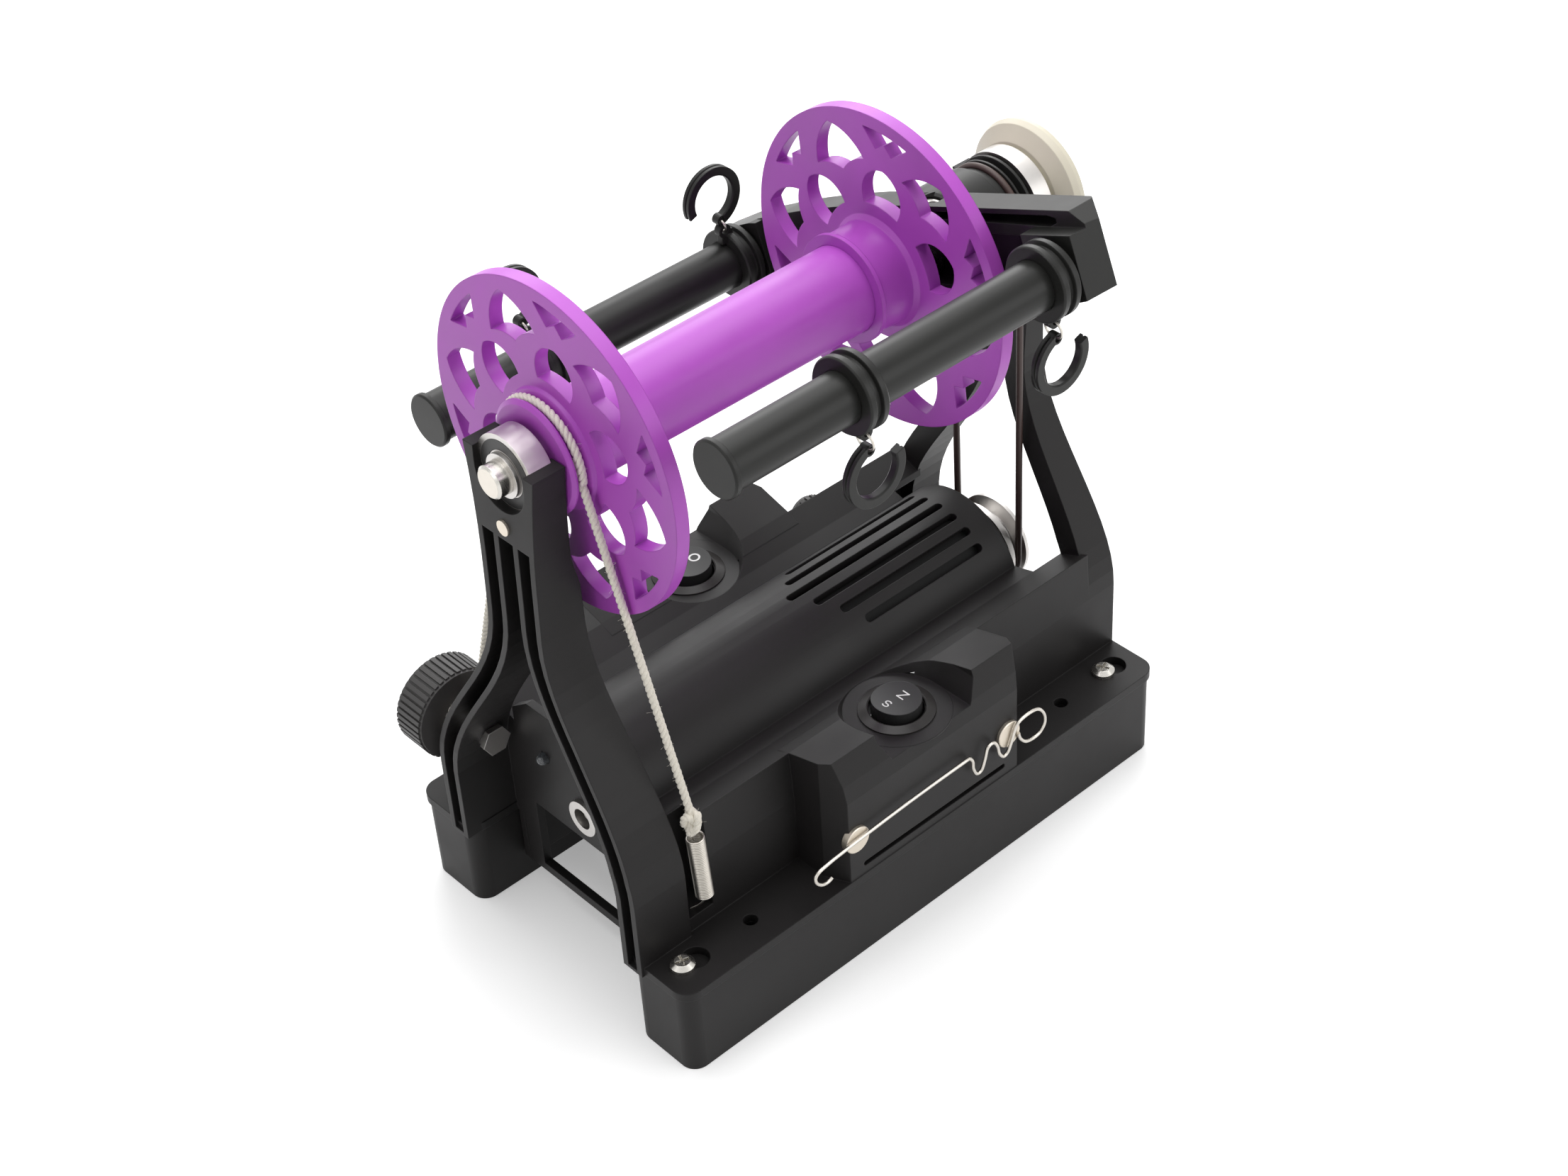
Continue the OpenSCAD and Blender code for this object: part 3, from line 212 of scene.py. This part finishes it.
by_name = {
    black: ["body_shell", "foot_left", "foot_right"],
    black_flyer: ["flyer_yoke", "flyer_pulley", "arm_tube_right", "arm_tube_left", "arm_cap_right",
                  "arm_cap_left", "hook_collar_1", "hook_collar_2", "hook_collar_3", "hook_collar_4",
                  "yarn_hook_1", "yarn_hook_2", "yarn_hook_3", "yarn_hook_4"],
    black_switch: ["power_bezel", "power_rocker", "direction_bezel", "direction_rocker"],
    knob_black_painted_light: ["speed_knob", "brake_knob"],
    purple: ["bobbin_core", "bobbin_flange_near", "bobbin_flange_far"],
    cream: ["orifice_flange", "bobbin_bushings"],
    motor_shade_black: ["motor"],
    steel: ["foot_screws", "motor_shaft", "motor_screws", "flyer_shaft", "orifice_tube", "speed_pot"],
    chrome: ["brake_screw", "dc_jack", "motor_pulley", "near_bearing_outer", "near_bearing_inner",
             "bearing_balls", "shaft_ring", "yarn_eyelet", "orifice_bearing_outer",
             "orifice_bearing_inner"],
    nickel: ["hook_magnets", "cradle_magnet"],
    wire_metal: ["threading_hook", "brake_spring", "hook_wire_1", "hook_wire_2", "hook_wire_3",
                 "hook_wire_4"],
    belt_rubber: ["drive_belt"],
    cotton: ["brake_band"],
    board_green: ["circuit_board"],
    lens: ["indicator_led"],
}
for material, names in by_name.items():
    for name in names:
        nodes[name].data.materials.clear()
        nodes[name].data.materials.append(material)


# ---------- shapes ----------

def wires(name, lines, radius, material, body, cyclic=False, sides=3):
    """One piece of round wires or strands, one along each line of points."""
    curve = bpy.data.curves.new(name, "CURVE")
    curve.dimensions = "3D"
    curve.bevel_depth = radius
    curve.bevel_resolution = sides
    curve.use_fill_caps = True
    for points in lines:
        line = curve.splines.new("POLY")
        line.points.add(len(points) - 1)
        for point, spot in zip(line.points, points):
            point.co = (*spot, 1)
        line.use_cyclic_u = cyclic
    maker = bpy.data.objects.new(name + "_path", curve)
    bpy.context.scene.collection.objects.link(maker)
    bpy.context.view_layer.update()
    mesh = bpy.data.meshes.new_from_object(maker.evaluated_get(bpy.context.evaluated_depsgraph_get()))
    bpy.data.objects.remove(maker)
    return piece_of(name, mesh, material, body)


def piece_of(name, mesh, material, body, smooth=True):
    """A piece of one material that rides on a body."""
    piece = bpy.data.objects.new(name, mesh)
    bpy.context.scene.collection.objects.link(piece)
    for face in mesh.polygons:
        face.use_smooth = smooth
    mesh.materials.clear()
    mesh.materials.append(material)
    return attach(piece, body)


def flat_faced(name, spots, faces, material, body):
    """A piece of flat faces between the given points."""
    mesh = bpy.data.meshes.new(name)
    mesh.from_pydata(spots, [], faces)
    mesh.update()
    return piece_of(name, mesh, material, body, smooth=False)


def turned(name, profile, base, material, body, axis=(0, 0, 1), sides=72):
    """A solid of revolution: profile is a closed loop of (radius, height) in mm, or meets the axis."""
    tilt = Vector((0, 0, 1)).rotation_difference(Vector(axis))
    spots = []
    for k in range(sides):
        a = 2 * math.pi * k / sides
        spots += [tilt @ mm(r * math.cos(a), r * math.sin(a), h) + base for r, h in profile]
    n = len(profile)
    faces = [(k * n + i, (k + 1) % sides * n + i, (k + 1) % sides * n + (i + 1) % n, k * n + (i + 1) % n)
             for k in range(sides) for i in range(n)]
    return flat_faced(name, spots, faces, material, body)


def angles(start, sweep, steps):
    """Angles in radians at even steps over sweep; start and sweep are in degrees."""
    return [math.radians(start + sweep * k / steps) for k in range(steps + 1)]


def smooth_path(points, step):
    """Points along a smooth curve through the given ones, about step apart."""
    points = [Vector(p) for p in points]
    out = []
    for i in range(len(points) - 1):
        a = points[max(i - 1, 0)]
        b, c = points[i], points[i + 1]
        d = points[min(i + 2, len(points) - 1)]
        count = max(1, round((c - b).length / step))
        for k in range(count):
            t = k / count
            out.append(0.5 * (2 * b + (c - a) * t + (2 * a - 5 * b + 4 * c - d) * t * t
                              + (3 * b - 3 * c + d - a) * t * t * t))
    return out + [points[-1]]


def along(points):
    """For each point of a path: the point, two directions across the path and the length so far."""
    out, length = [], 0.0
    for i, spot in enumerate(points):
        ahead = (points[min(i + 1, len(points) - 1)] - points[max(i - 1, 0)]).normalized()
        side = Vector((1, 0, 0))
        side = (side - ahead * side.dot(ahead)).normalized()
        out.append((spot, side, ahead.cross(side), length))
        if i + 1 < len(points):
            length += (points[i + 1] - spot).length
    return out


def twisted(points, strands, radius, pitch):
    """Lines of the strands that are laid round a path, one turn in each pitch."""
    lines = []
    for k in range(strands):
        line = []
        for spot, side, up, length in along(points):
            a = 2 * math.pi * (length / pitch + k / strands)
            line.append(spot + radius * (side * math.cos(a) + up * math.sin(a)))
        lines.append(line)
    return lines


# ---------- brake band and spring ----------

# the spring, and the foot of the cord with it, stands clear of the near upright
SPRING_LOW = mm(-61.2, -36.4, 36.4)
SPRING_HIGH = mm(-61.6, -35.4, 54.2)
SPRING_R = 2.05
SPRING_WIRE = 0.47
COILS = 35
COIL_STEPS = 18
GROOVE_X = -64.4
GROOVE_R = 13.1
SPINDLE_Y = 37.6
WINDING_R = 4.2
WINDING_STEP = 0.03
STRANDS = 3
STRAND_R = 0.55
HAIRS = 420
HAIR_R = 0.022

spring_line = SPRING_HIGH - SPRING_LOW
up_spring = spring_line.normalized()
lean = Vector((0, 0, 1)).rotation_difference(up_spring)
knot_at = SPRING_HIGH + up_spring * 5.2 * MM


def cord_route():
    """From the knot over the bobbin's groove to the knob's spindle and round it."""
    over = [mm(GROOVE_X, GROOVE_R * math.cos(a), AXIS_Z + GROOVE_R * math.sin(a))
            for a in angles(191, -204, 40)]
    wound = [mm(BRAKE_X + WINDING_R * math.cos(a), SPINDLE_Y + WINDING_STEP * k,
                BRAKE_Z + WINDING_R * math.sin(a))
             for k, a in enumerate(angles(20, -290, 30))]
    return smooth_path([knot_at + up_spring * 1.5 * MM, *over, *wound], 0.35 * MM)


def knot_route():
    """An overhand knot, pulled tight on the loop at the spring's top."""
    return [knot_at + lean @ mm(0.62 * (math.sin(a) + 2 * math.sin(2 * a)),
                                0.62 * (math.cos(a) - 2 * math.cos(2 * a)), -1.9 * math.sin(3 * a))
            for a in angles(0, 360, 72)]


def loop_route():
    """The cord's short loop that holds the spring's eye."""
    bends = [(0.9, 0, -1.2), (1.1, 0.2, -3.2), (0, 0.3, -4.1), (-1.1, 0.1, -3.1), (-0.8, 0, -1.2)]
    return smooth_path([knot_at + mm(*bend) for bend in bends], 0.3 * MM)


cord_path, knot_path = cord_route(), knot_route()
strands = (twisted(cord_path, STRANDS, 0.46 * MM, 4.6 * MM)
           + twisted(knot_path, STRANDS, 0.42 * MM, 4.2 * MM)
           + twisted(loop_route(), STRANDS, 0.38 * MM, 4.2 * MM))
band = wires("brake_cord", strands, STRAND_R * MM, cotton, "frame")
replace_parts(band, "brake_band")

# loose fibres that stand off the cord
fluff = random.Random(4)
hairs = []
for _ in range(HAIRS):
    spot = fluff.choice(cord_path if fluff.random() < 0.85 else knot_path)
    way = Vector([fluff.gauss(0, 1) for _ in range(3)]).normalized()
    bend = Vector([fluff.gauss(0, 0.35) for _ in range(3)]) * MM
    root = spot + way * 0.8 * MM
    hairs.append([root, root + way * 0.35 * MM + bend * 0.5, root + way * 0.6 * MM + bend * 1.4])
wires("cord_fibres", hairs, HAIR_R * MM, cotton, "frame", sides=0)


def spring_route():
    """Tail hook in the hole of the deck, close coil, eye at the top."""
    coil = []
    for k in range(COILS * COIL_STEPS + 1):
        a = 2 * math.pi * k / COIL_STEPS
        rise = spring_line.length / MM * k / (COILS * COIL_STEPS)
        coil.append(SPRING_LOW + lean @ mm(SPRING_R * math.cos(a), SPRING_R * math.sin(a), rise))
    hook_bends = [mm(-63.2, -31.2, 26.4), mm(-62.8, -32.0, 29.4), mm(-61.8, -34.6, 32.2)]
    rim_bends = [SPRING_LOW + mm(0.3, 0.2, -1.6), SPRING_LOW + mm(1.3, 0.4, -0.5)]
    tail = smooth_path(hook_bends + rim_bends + [coil[0]], 0.25 * MM)
    eye_bends = [(1.5, 0.9, 0.7), (0.7, 0.6, 1.6), (0.75, 0.75, 3.4), (0, 0.9, 4.4), (-0.75, 0.75, 3.4),
                 (-0.7, 0.5, 1.2), (-0.4, 0.1, -0.6)]
    eye = smooth_path([coil[-1]] + [SPRING_HIGH + mm(*bend) for bend in eye_bends], 0.25 * MM)
    return tail[:-1] + coil + eye[1:]


spring = wires("spring_coil", [spring_route()], SPRING_WIRE / 2 * MM, wire_metal, "frame", sides=2)
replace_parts(spring, "brake_spring")


# ---------- drive belt ----------

BELT_R = 0.9
FLYER_GROOVE_R = 11.4
MOTOR_GROOVE_R = 10.9


def belt_loop():
    """Round the flyer pulley and the motor pulley, in the belt's plane."""
    tilt = math.degrees(math.asin((FLYER_GROOVE_R - MOTOR_GROOVE_R) / (AXIS_Z - MOTOR_Z)))
    loop = []
    for r, z, start, sweep in ((FLYER_GROOVE_R, AXIS_Z, tilt, 180 - 2 * tilt),
                               (MOTOR_GROOVE_R, MOTOR_Z, 180 - tilt, 180 + 2 * tilt)):
        loop += [mm(BELT_X, r * math.cos(a), z + r * math.sin(a)) for a in angles(start, sweep, 48)]
    return loop


belt = wires("round_belt", [belt_loop()], BELT_R * MM, belt_rubber, "frame", cyclic=True)
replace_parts(belt, "drive_belt")


# ---------- threading hook and its magnets ----------

HOOK_Y = -51.8
HOOK_WIRE_R = 0.46
# (x, z) of the bends, from the ring at the right to the small hook at the left
hook_bends = [
    (27.2, 38.4), (27.8, 36.3), (30.1, 33.9), (34.1, 33.6), (36.4, 35.8), (36.1, 39.2), (33.6, 42.1),
    (29.2, 42.5), (26.4, 41.3), (24.7, 37.4), (23.4, 34.8), (21.8, 34.3), (20.4, 36.2), (19.8, 38.8),
    (18.4, 41.0), (16.4, 40.6), (15.4, 37.6), (14.2, 34.9), (12.5, 34.8), (11.4, 37.2), (11.2, 39.6),
    (10.1, 41.2), (8.4, 41.3), (-10, 40.9), (-31, 39.7), (-36.8, 39.1), (-39.6, 38.5), (-40.7, 37.3),
    (-40.3, 35.5), (-38.8, 34.0), (-36.9, 33.6), (-35.6, 34.1)
]
hook_path = smooth_path([mm(x, HOOK_Y, z) for x, z in hook_bends], 0.4 * MM)
hook = wires("hook_wire", [hook_path], HOOK_WIRE_R * MM, wire_metal, "threader")
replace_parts(hook, "threading_hook")

MAGNET_R = 3.65
MAGNET_T = 1.9
MAGNET_Z = 39
disc = [(0, 0), (MAGNET_R - 0.2, 0), (MAGNET_R, 0.2), (MAGNET_R, MAGNET_T), (0, MAGNET_T)]
magnets = [turned("round_magnet_" + side, disc, mm(x, MAGNET_Y - 0.05, MAGNET_Z), nickel, "frame", (0, 1, 0))
           for side, x in (("left", -26.2), ("right", 24.8))]
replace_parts(magnets[0], "hook_magnets")


# ---------- near end of the shaft ----------

shield = [(5.75, 0), (8.2, 0), (8.2, 0.3), (5.75, 0.3)]
turned("bearing_shield", shield, mm(BEARING_X - 0.08, 0, AXIS_Z), dark_shield, "frame", (1, 0, 0))
end_face = [(0, 0), (3.3, 0), (3.45, 0.06), (0, 0.06)]
turned("shaft_face", end_face, mm(SHAFT_END_X - 0.04, 0, AXIS_Z), pale_steel, "flyer", (1, 0, 0))


# ---------- switches ----------

RECESS_Z = 55
PIVOT_Z = 53.4
SKIRT_Z = PIVOT_Z - 3
TOP_Z = 58.3
TROUGH_R = 45
ROCKER_R = 6.15
BORE_R = 6.9
RING_R = 9.45
SEAT_R = 13.5
ring_profile = [(BORE_R, -4), (RING_R, 0), (RING_R, 0.35), (7.3, 1.15), (BORE_R, 0.95)]
seat_profile = [(BORE_R + 0.2, -0.4), (SEAT_R, -0.4), (SEAT_R, 0.04), (BORE_R + 0.2, 0.04)]


def dish(x):
    """Height of the rocker's top in mm: a shallow trough along the pivot."""
    return TOP_Z + TROUGH_R - math.sqrt(TROUGH_R * TROUGH_R - x * x)


def rocker(name, y, body):
    """Round rocker with a shallow trough, on its pivot, at rest in the middle."""
    count, rings = 64, 6
    around = [2 * math.pi * k / count for k in range(count)]
    spots = []
    for ring in range(1, rings + 1):
        r = ROCKER_R * ring / rings
        spots += [mm(r * math.cos(a), y + r * math.sin(a), dish(r * math.cos(a))) for a in around]
    spots += [mm(ROCKER_R * math.cos(a), y + ROCKER_R * math.sin(a), SKIRT_Z) for a in around]
    top = len(spots)
    spots += [mm(0, y, TOP_Z), mm(0, y, SKIRT_Z)]
    faces = [(top, k, (k + 1) % count) for k in range(count)]
    for ring in range(rings):
        faces += [(ring * count + k, (ring + 1) * count + k, (ring + 1) * count + (k + 1) % count,
                   ring * count + (k + 1) % count) for k in range(count)]
    faces += [(top + 1, rings * count + (k + 1) % count, rings * count + k) for k in range(count)]
    return flat_faced(name, spots, faces, black_switch, body)


def mark(name, line, width, body):
    """A printed mark: flat strokes along a line on the rocker's top."""
    spots, faces = [], []
    for (x0, y0), (x1, y1) in zip(line, line[1:]):
        size = math.hypot(x1 - x0, y1 - y0)
        u, v = (x1 - x0) / size * width / 2, (y1 - y0) / size * width / 2
        n = len(spots)
        for x, y, away in ((x0, y0, -1), (x1, y1, 1)):
            for hand in (1, -1):
                p, q = x + away * u * 0.8 - hand * v, y + away * v * 0.8 + hand * u
                spots.append(mm(p, q, dish(p) + 0.03))
        faces.append((n, n + 1, n + 3, n + 2))
    return flat_faced(name, spots, faces, white_ink, body)


def arc(x, y, r, start, sweep, count=14, squeeze=1.0):
    """Points of an arc, narrowed along x by squeeze."""
    return [(x + r * squeeze * math.cos(a), y + r * math.sin(a)) for a in angles(start, sweep, count)]


for title, y, body in (("power", SWITCH_Y, "power_switch"), ("direction", -SWITCH_Y, "direction_switch")):
    ring = turned(title + "_ring", ring_profile, mm(0, y, RECESS_Z), black_bezel, "frame")
    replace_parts(ring, title + "_bezel")
    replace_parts(rocker(title + "_button", y, body), title + "_rocker")
    # a disc hides bright bars of shading on the recess floor, whose cause wasn't found
    turned(title + "_seat", seat_profile, mm(0, y, RECESS_Z), black, "frame")

# O and I on the power switch, S and Z on the direction switch: their tops point along +X
mark("mark_off", arc(2.4, SWITCH_Y, 1.28, 0, 360, 40), 0.5, "power_switch")
mark("mark_on", [(-3.4, SWITCH_Y), (-1.6, SWITCH_Y)], 0.45, "power_switch")
z_x, z_y = 1.9, -SWITCH_Y - 0.3
zigzag = [(1.1, 1.0), (1.1, -1.0), (-1.1, 1.0), (-1.1, -1.0)]
mark("mark_z", [(z_x + x, z_y + y) for x, y in zigzag], 0.36, "direction_switch")
s_x, s_y, bow_r, bow_step = -2.9, -SWITCH_Y + 0.2, 0.75, 0.52
bows = (arc(s_x + bow_step, s_y, bow_r, -60, 240, squeeze=0.72)
        + arc(s_x - bow_step, s_y, bow_r, 0, -240, squeeze=0.72))
mark("mark_s", bows, 0.34, "direction_switch")


# ---------- light, floor and camera ----------

TARGET = (0, 0, 0.09)
SKY = 0.28
NEAR_LIFT = 0.32
FAR_LIFT = 0.85
LIFT_FROM, LIFT_TO = 0.25, 1.0
CAMERA_PLACE = (-0.3305, -0.3920, 0.4829)
CAMERA_LOOK = (0.5271, 0.5743, -0.6264)
CAMERA_ROLL = -2.42


def area_light(name, place, width, height, power):
    """A softbox that faces the object."""
    lamp = bpy.data.lights.new(name, "AREA")
    lamp.shape = "RECTANGLE"
    lamp.size = width
    lamp.size_y = height
    lamp.energy = power
    obj = bpy.data.objects.new(name, lamp)
    obj.location = place
    obj.rotation_euler = (Vector(TARGET) - Vector(place)).to_track_quat("-Z", "Y").to_euler()
    bpy.context.scene.collection.objects.link(obj)


def seen_directly(tree):
    """1 for rays that come from the camera, a mirror or a lens, 0 for the light on the object."""
    rays = tree.nodes.new("ShaderNodeLightPath")
    seen = rays.outputs["Is Camera Ray"]
    for kind in ("Is Glossy Ray", "Is Transmission Ray"):
        either = tree.nodes.new("ShaderNodeMath")
        either.operation = "MAXIMUM"
        tree.links.new(seen, either.inputs[0])
        tree.links.new(rays.outputs[kind], either.inputs[1])
        seen = either.outputs["Value"]
    return seen


def ranged(tree, value, from_range, to_range):
    """The value laid over another range."""
    node = tree.nodes.new("ShaderNodeMapRange")
    node.inputs["From Min"].default_value, node.inputs["From Max"].default_value = from_range
    node.inputs["To Min"].default_value, node.inputs["To Max"].default_value = to_range
    tree.links.new(value, node.inputs["Value"])
    return node.outputs["Result"]


def white_world():
    """Even white light of strength SKY, and plain white where it is seen."""
    world = bpy.data.worlds.new("studio")
    bpy.context.scene.world = world
    world.use_nodes = True
    tree = world.node_tree
    sky = tree.nodes["Background"]
    sky.inputs["Color"].default_value = (1, 1, 1, 1)
    tree.links.new(ranged(tree, seen_directly(tree), (0, 1), (SKY, 1)), sky.inputs["Strength"])


def white_floor():
    """White floor that takes the shadow near the object and is plain white further out."""
    bpy.ops.mesh.primitive_plane_add(size=8, location=(0, 0, -0.0001))
    floor = bpy.context.object
    floor.name = "floor"
    mat, tree, bsdf = new_material("floor_white", (0.93, 0.93, 0.93), 0.9)
    bsdf.inputs["Specular IOR Level"].default_value = 0.1
    bsdf.inputs["Emission Color"].default_value = (1, 1, 1, 1)
    where = tree.nodes.new("ShaderNodeTexCoord")
    away = tree.nodes.new("ShaderNodeVectorMath")
    away.operation = "LENGTH"
    tree.links.new(where.outputs["Object"], away.inputs[0])
    lift = tree.nodes.new("ShaderNodeMath")
    lift.operation = "MULTIPLY"
    grown = ranged(tree, away.outputs["Value"], (LIFT_FROM, LIFT_TO), (NEAR_LIFT, FAR_LIFT))
    tree.links.new(grown, lift.inputs[0])
    tree.links.new(seen_directly(tree), lift.inputs[1])
    tree.links.new(lift.outputs["Value"], bsdf.inputs["Emission Strength"])
    floor.data.materials.append(mat)


def photo_camera():
    """The camera of the photograph, as solved from its straight edges and circles."""
    data = bpy.data.cameras.new("camera")
    data.lens = 62.4
    data.sensor_width = 36
    data.shift_x = -0.0578
    data.shift_y = -0.0031
    camera = bpy.data.objects.new("camera", data)
    camera.location = CAMERA_PLACE
    camera.rotation_mode = "QUATERNION"
    roll = Quaternion((0, 0, 1), math.radians(CAMERA_ROLL))
    camera.rotation_quaternion = Vector(CAMERA_LOOK).to_track_quat("-Z", "Y") @ roll
    bpy.context.scene.collection.objects.link(camera)
    bpy.context.scene.camera = camera


area_light("top_softbox", (0.05, 0.10, 0.80), 0.8, 0.7, 5.7)
area_light("front_softbox", (0.30, -0.80, 0.45), 0.7, 0.5, 2.5)
area_light("left_fill", (-0.80, 0.00, 0.45), 0.5, 0.4, 0.8)
area_light("back_softbox", (0.55, 0.65, 0.55), 0.7, 0.5, 4.0)
white_world()
white_floor()
photo_camera()
bpy.context.scene.view_settings.view_transform = "Standard"
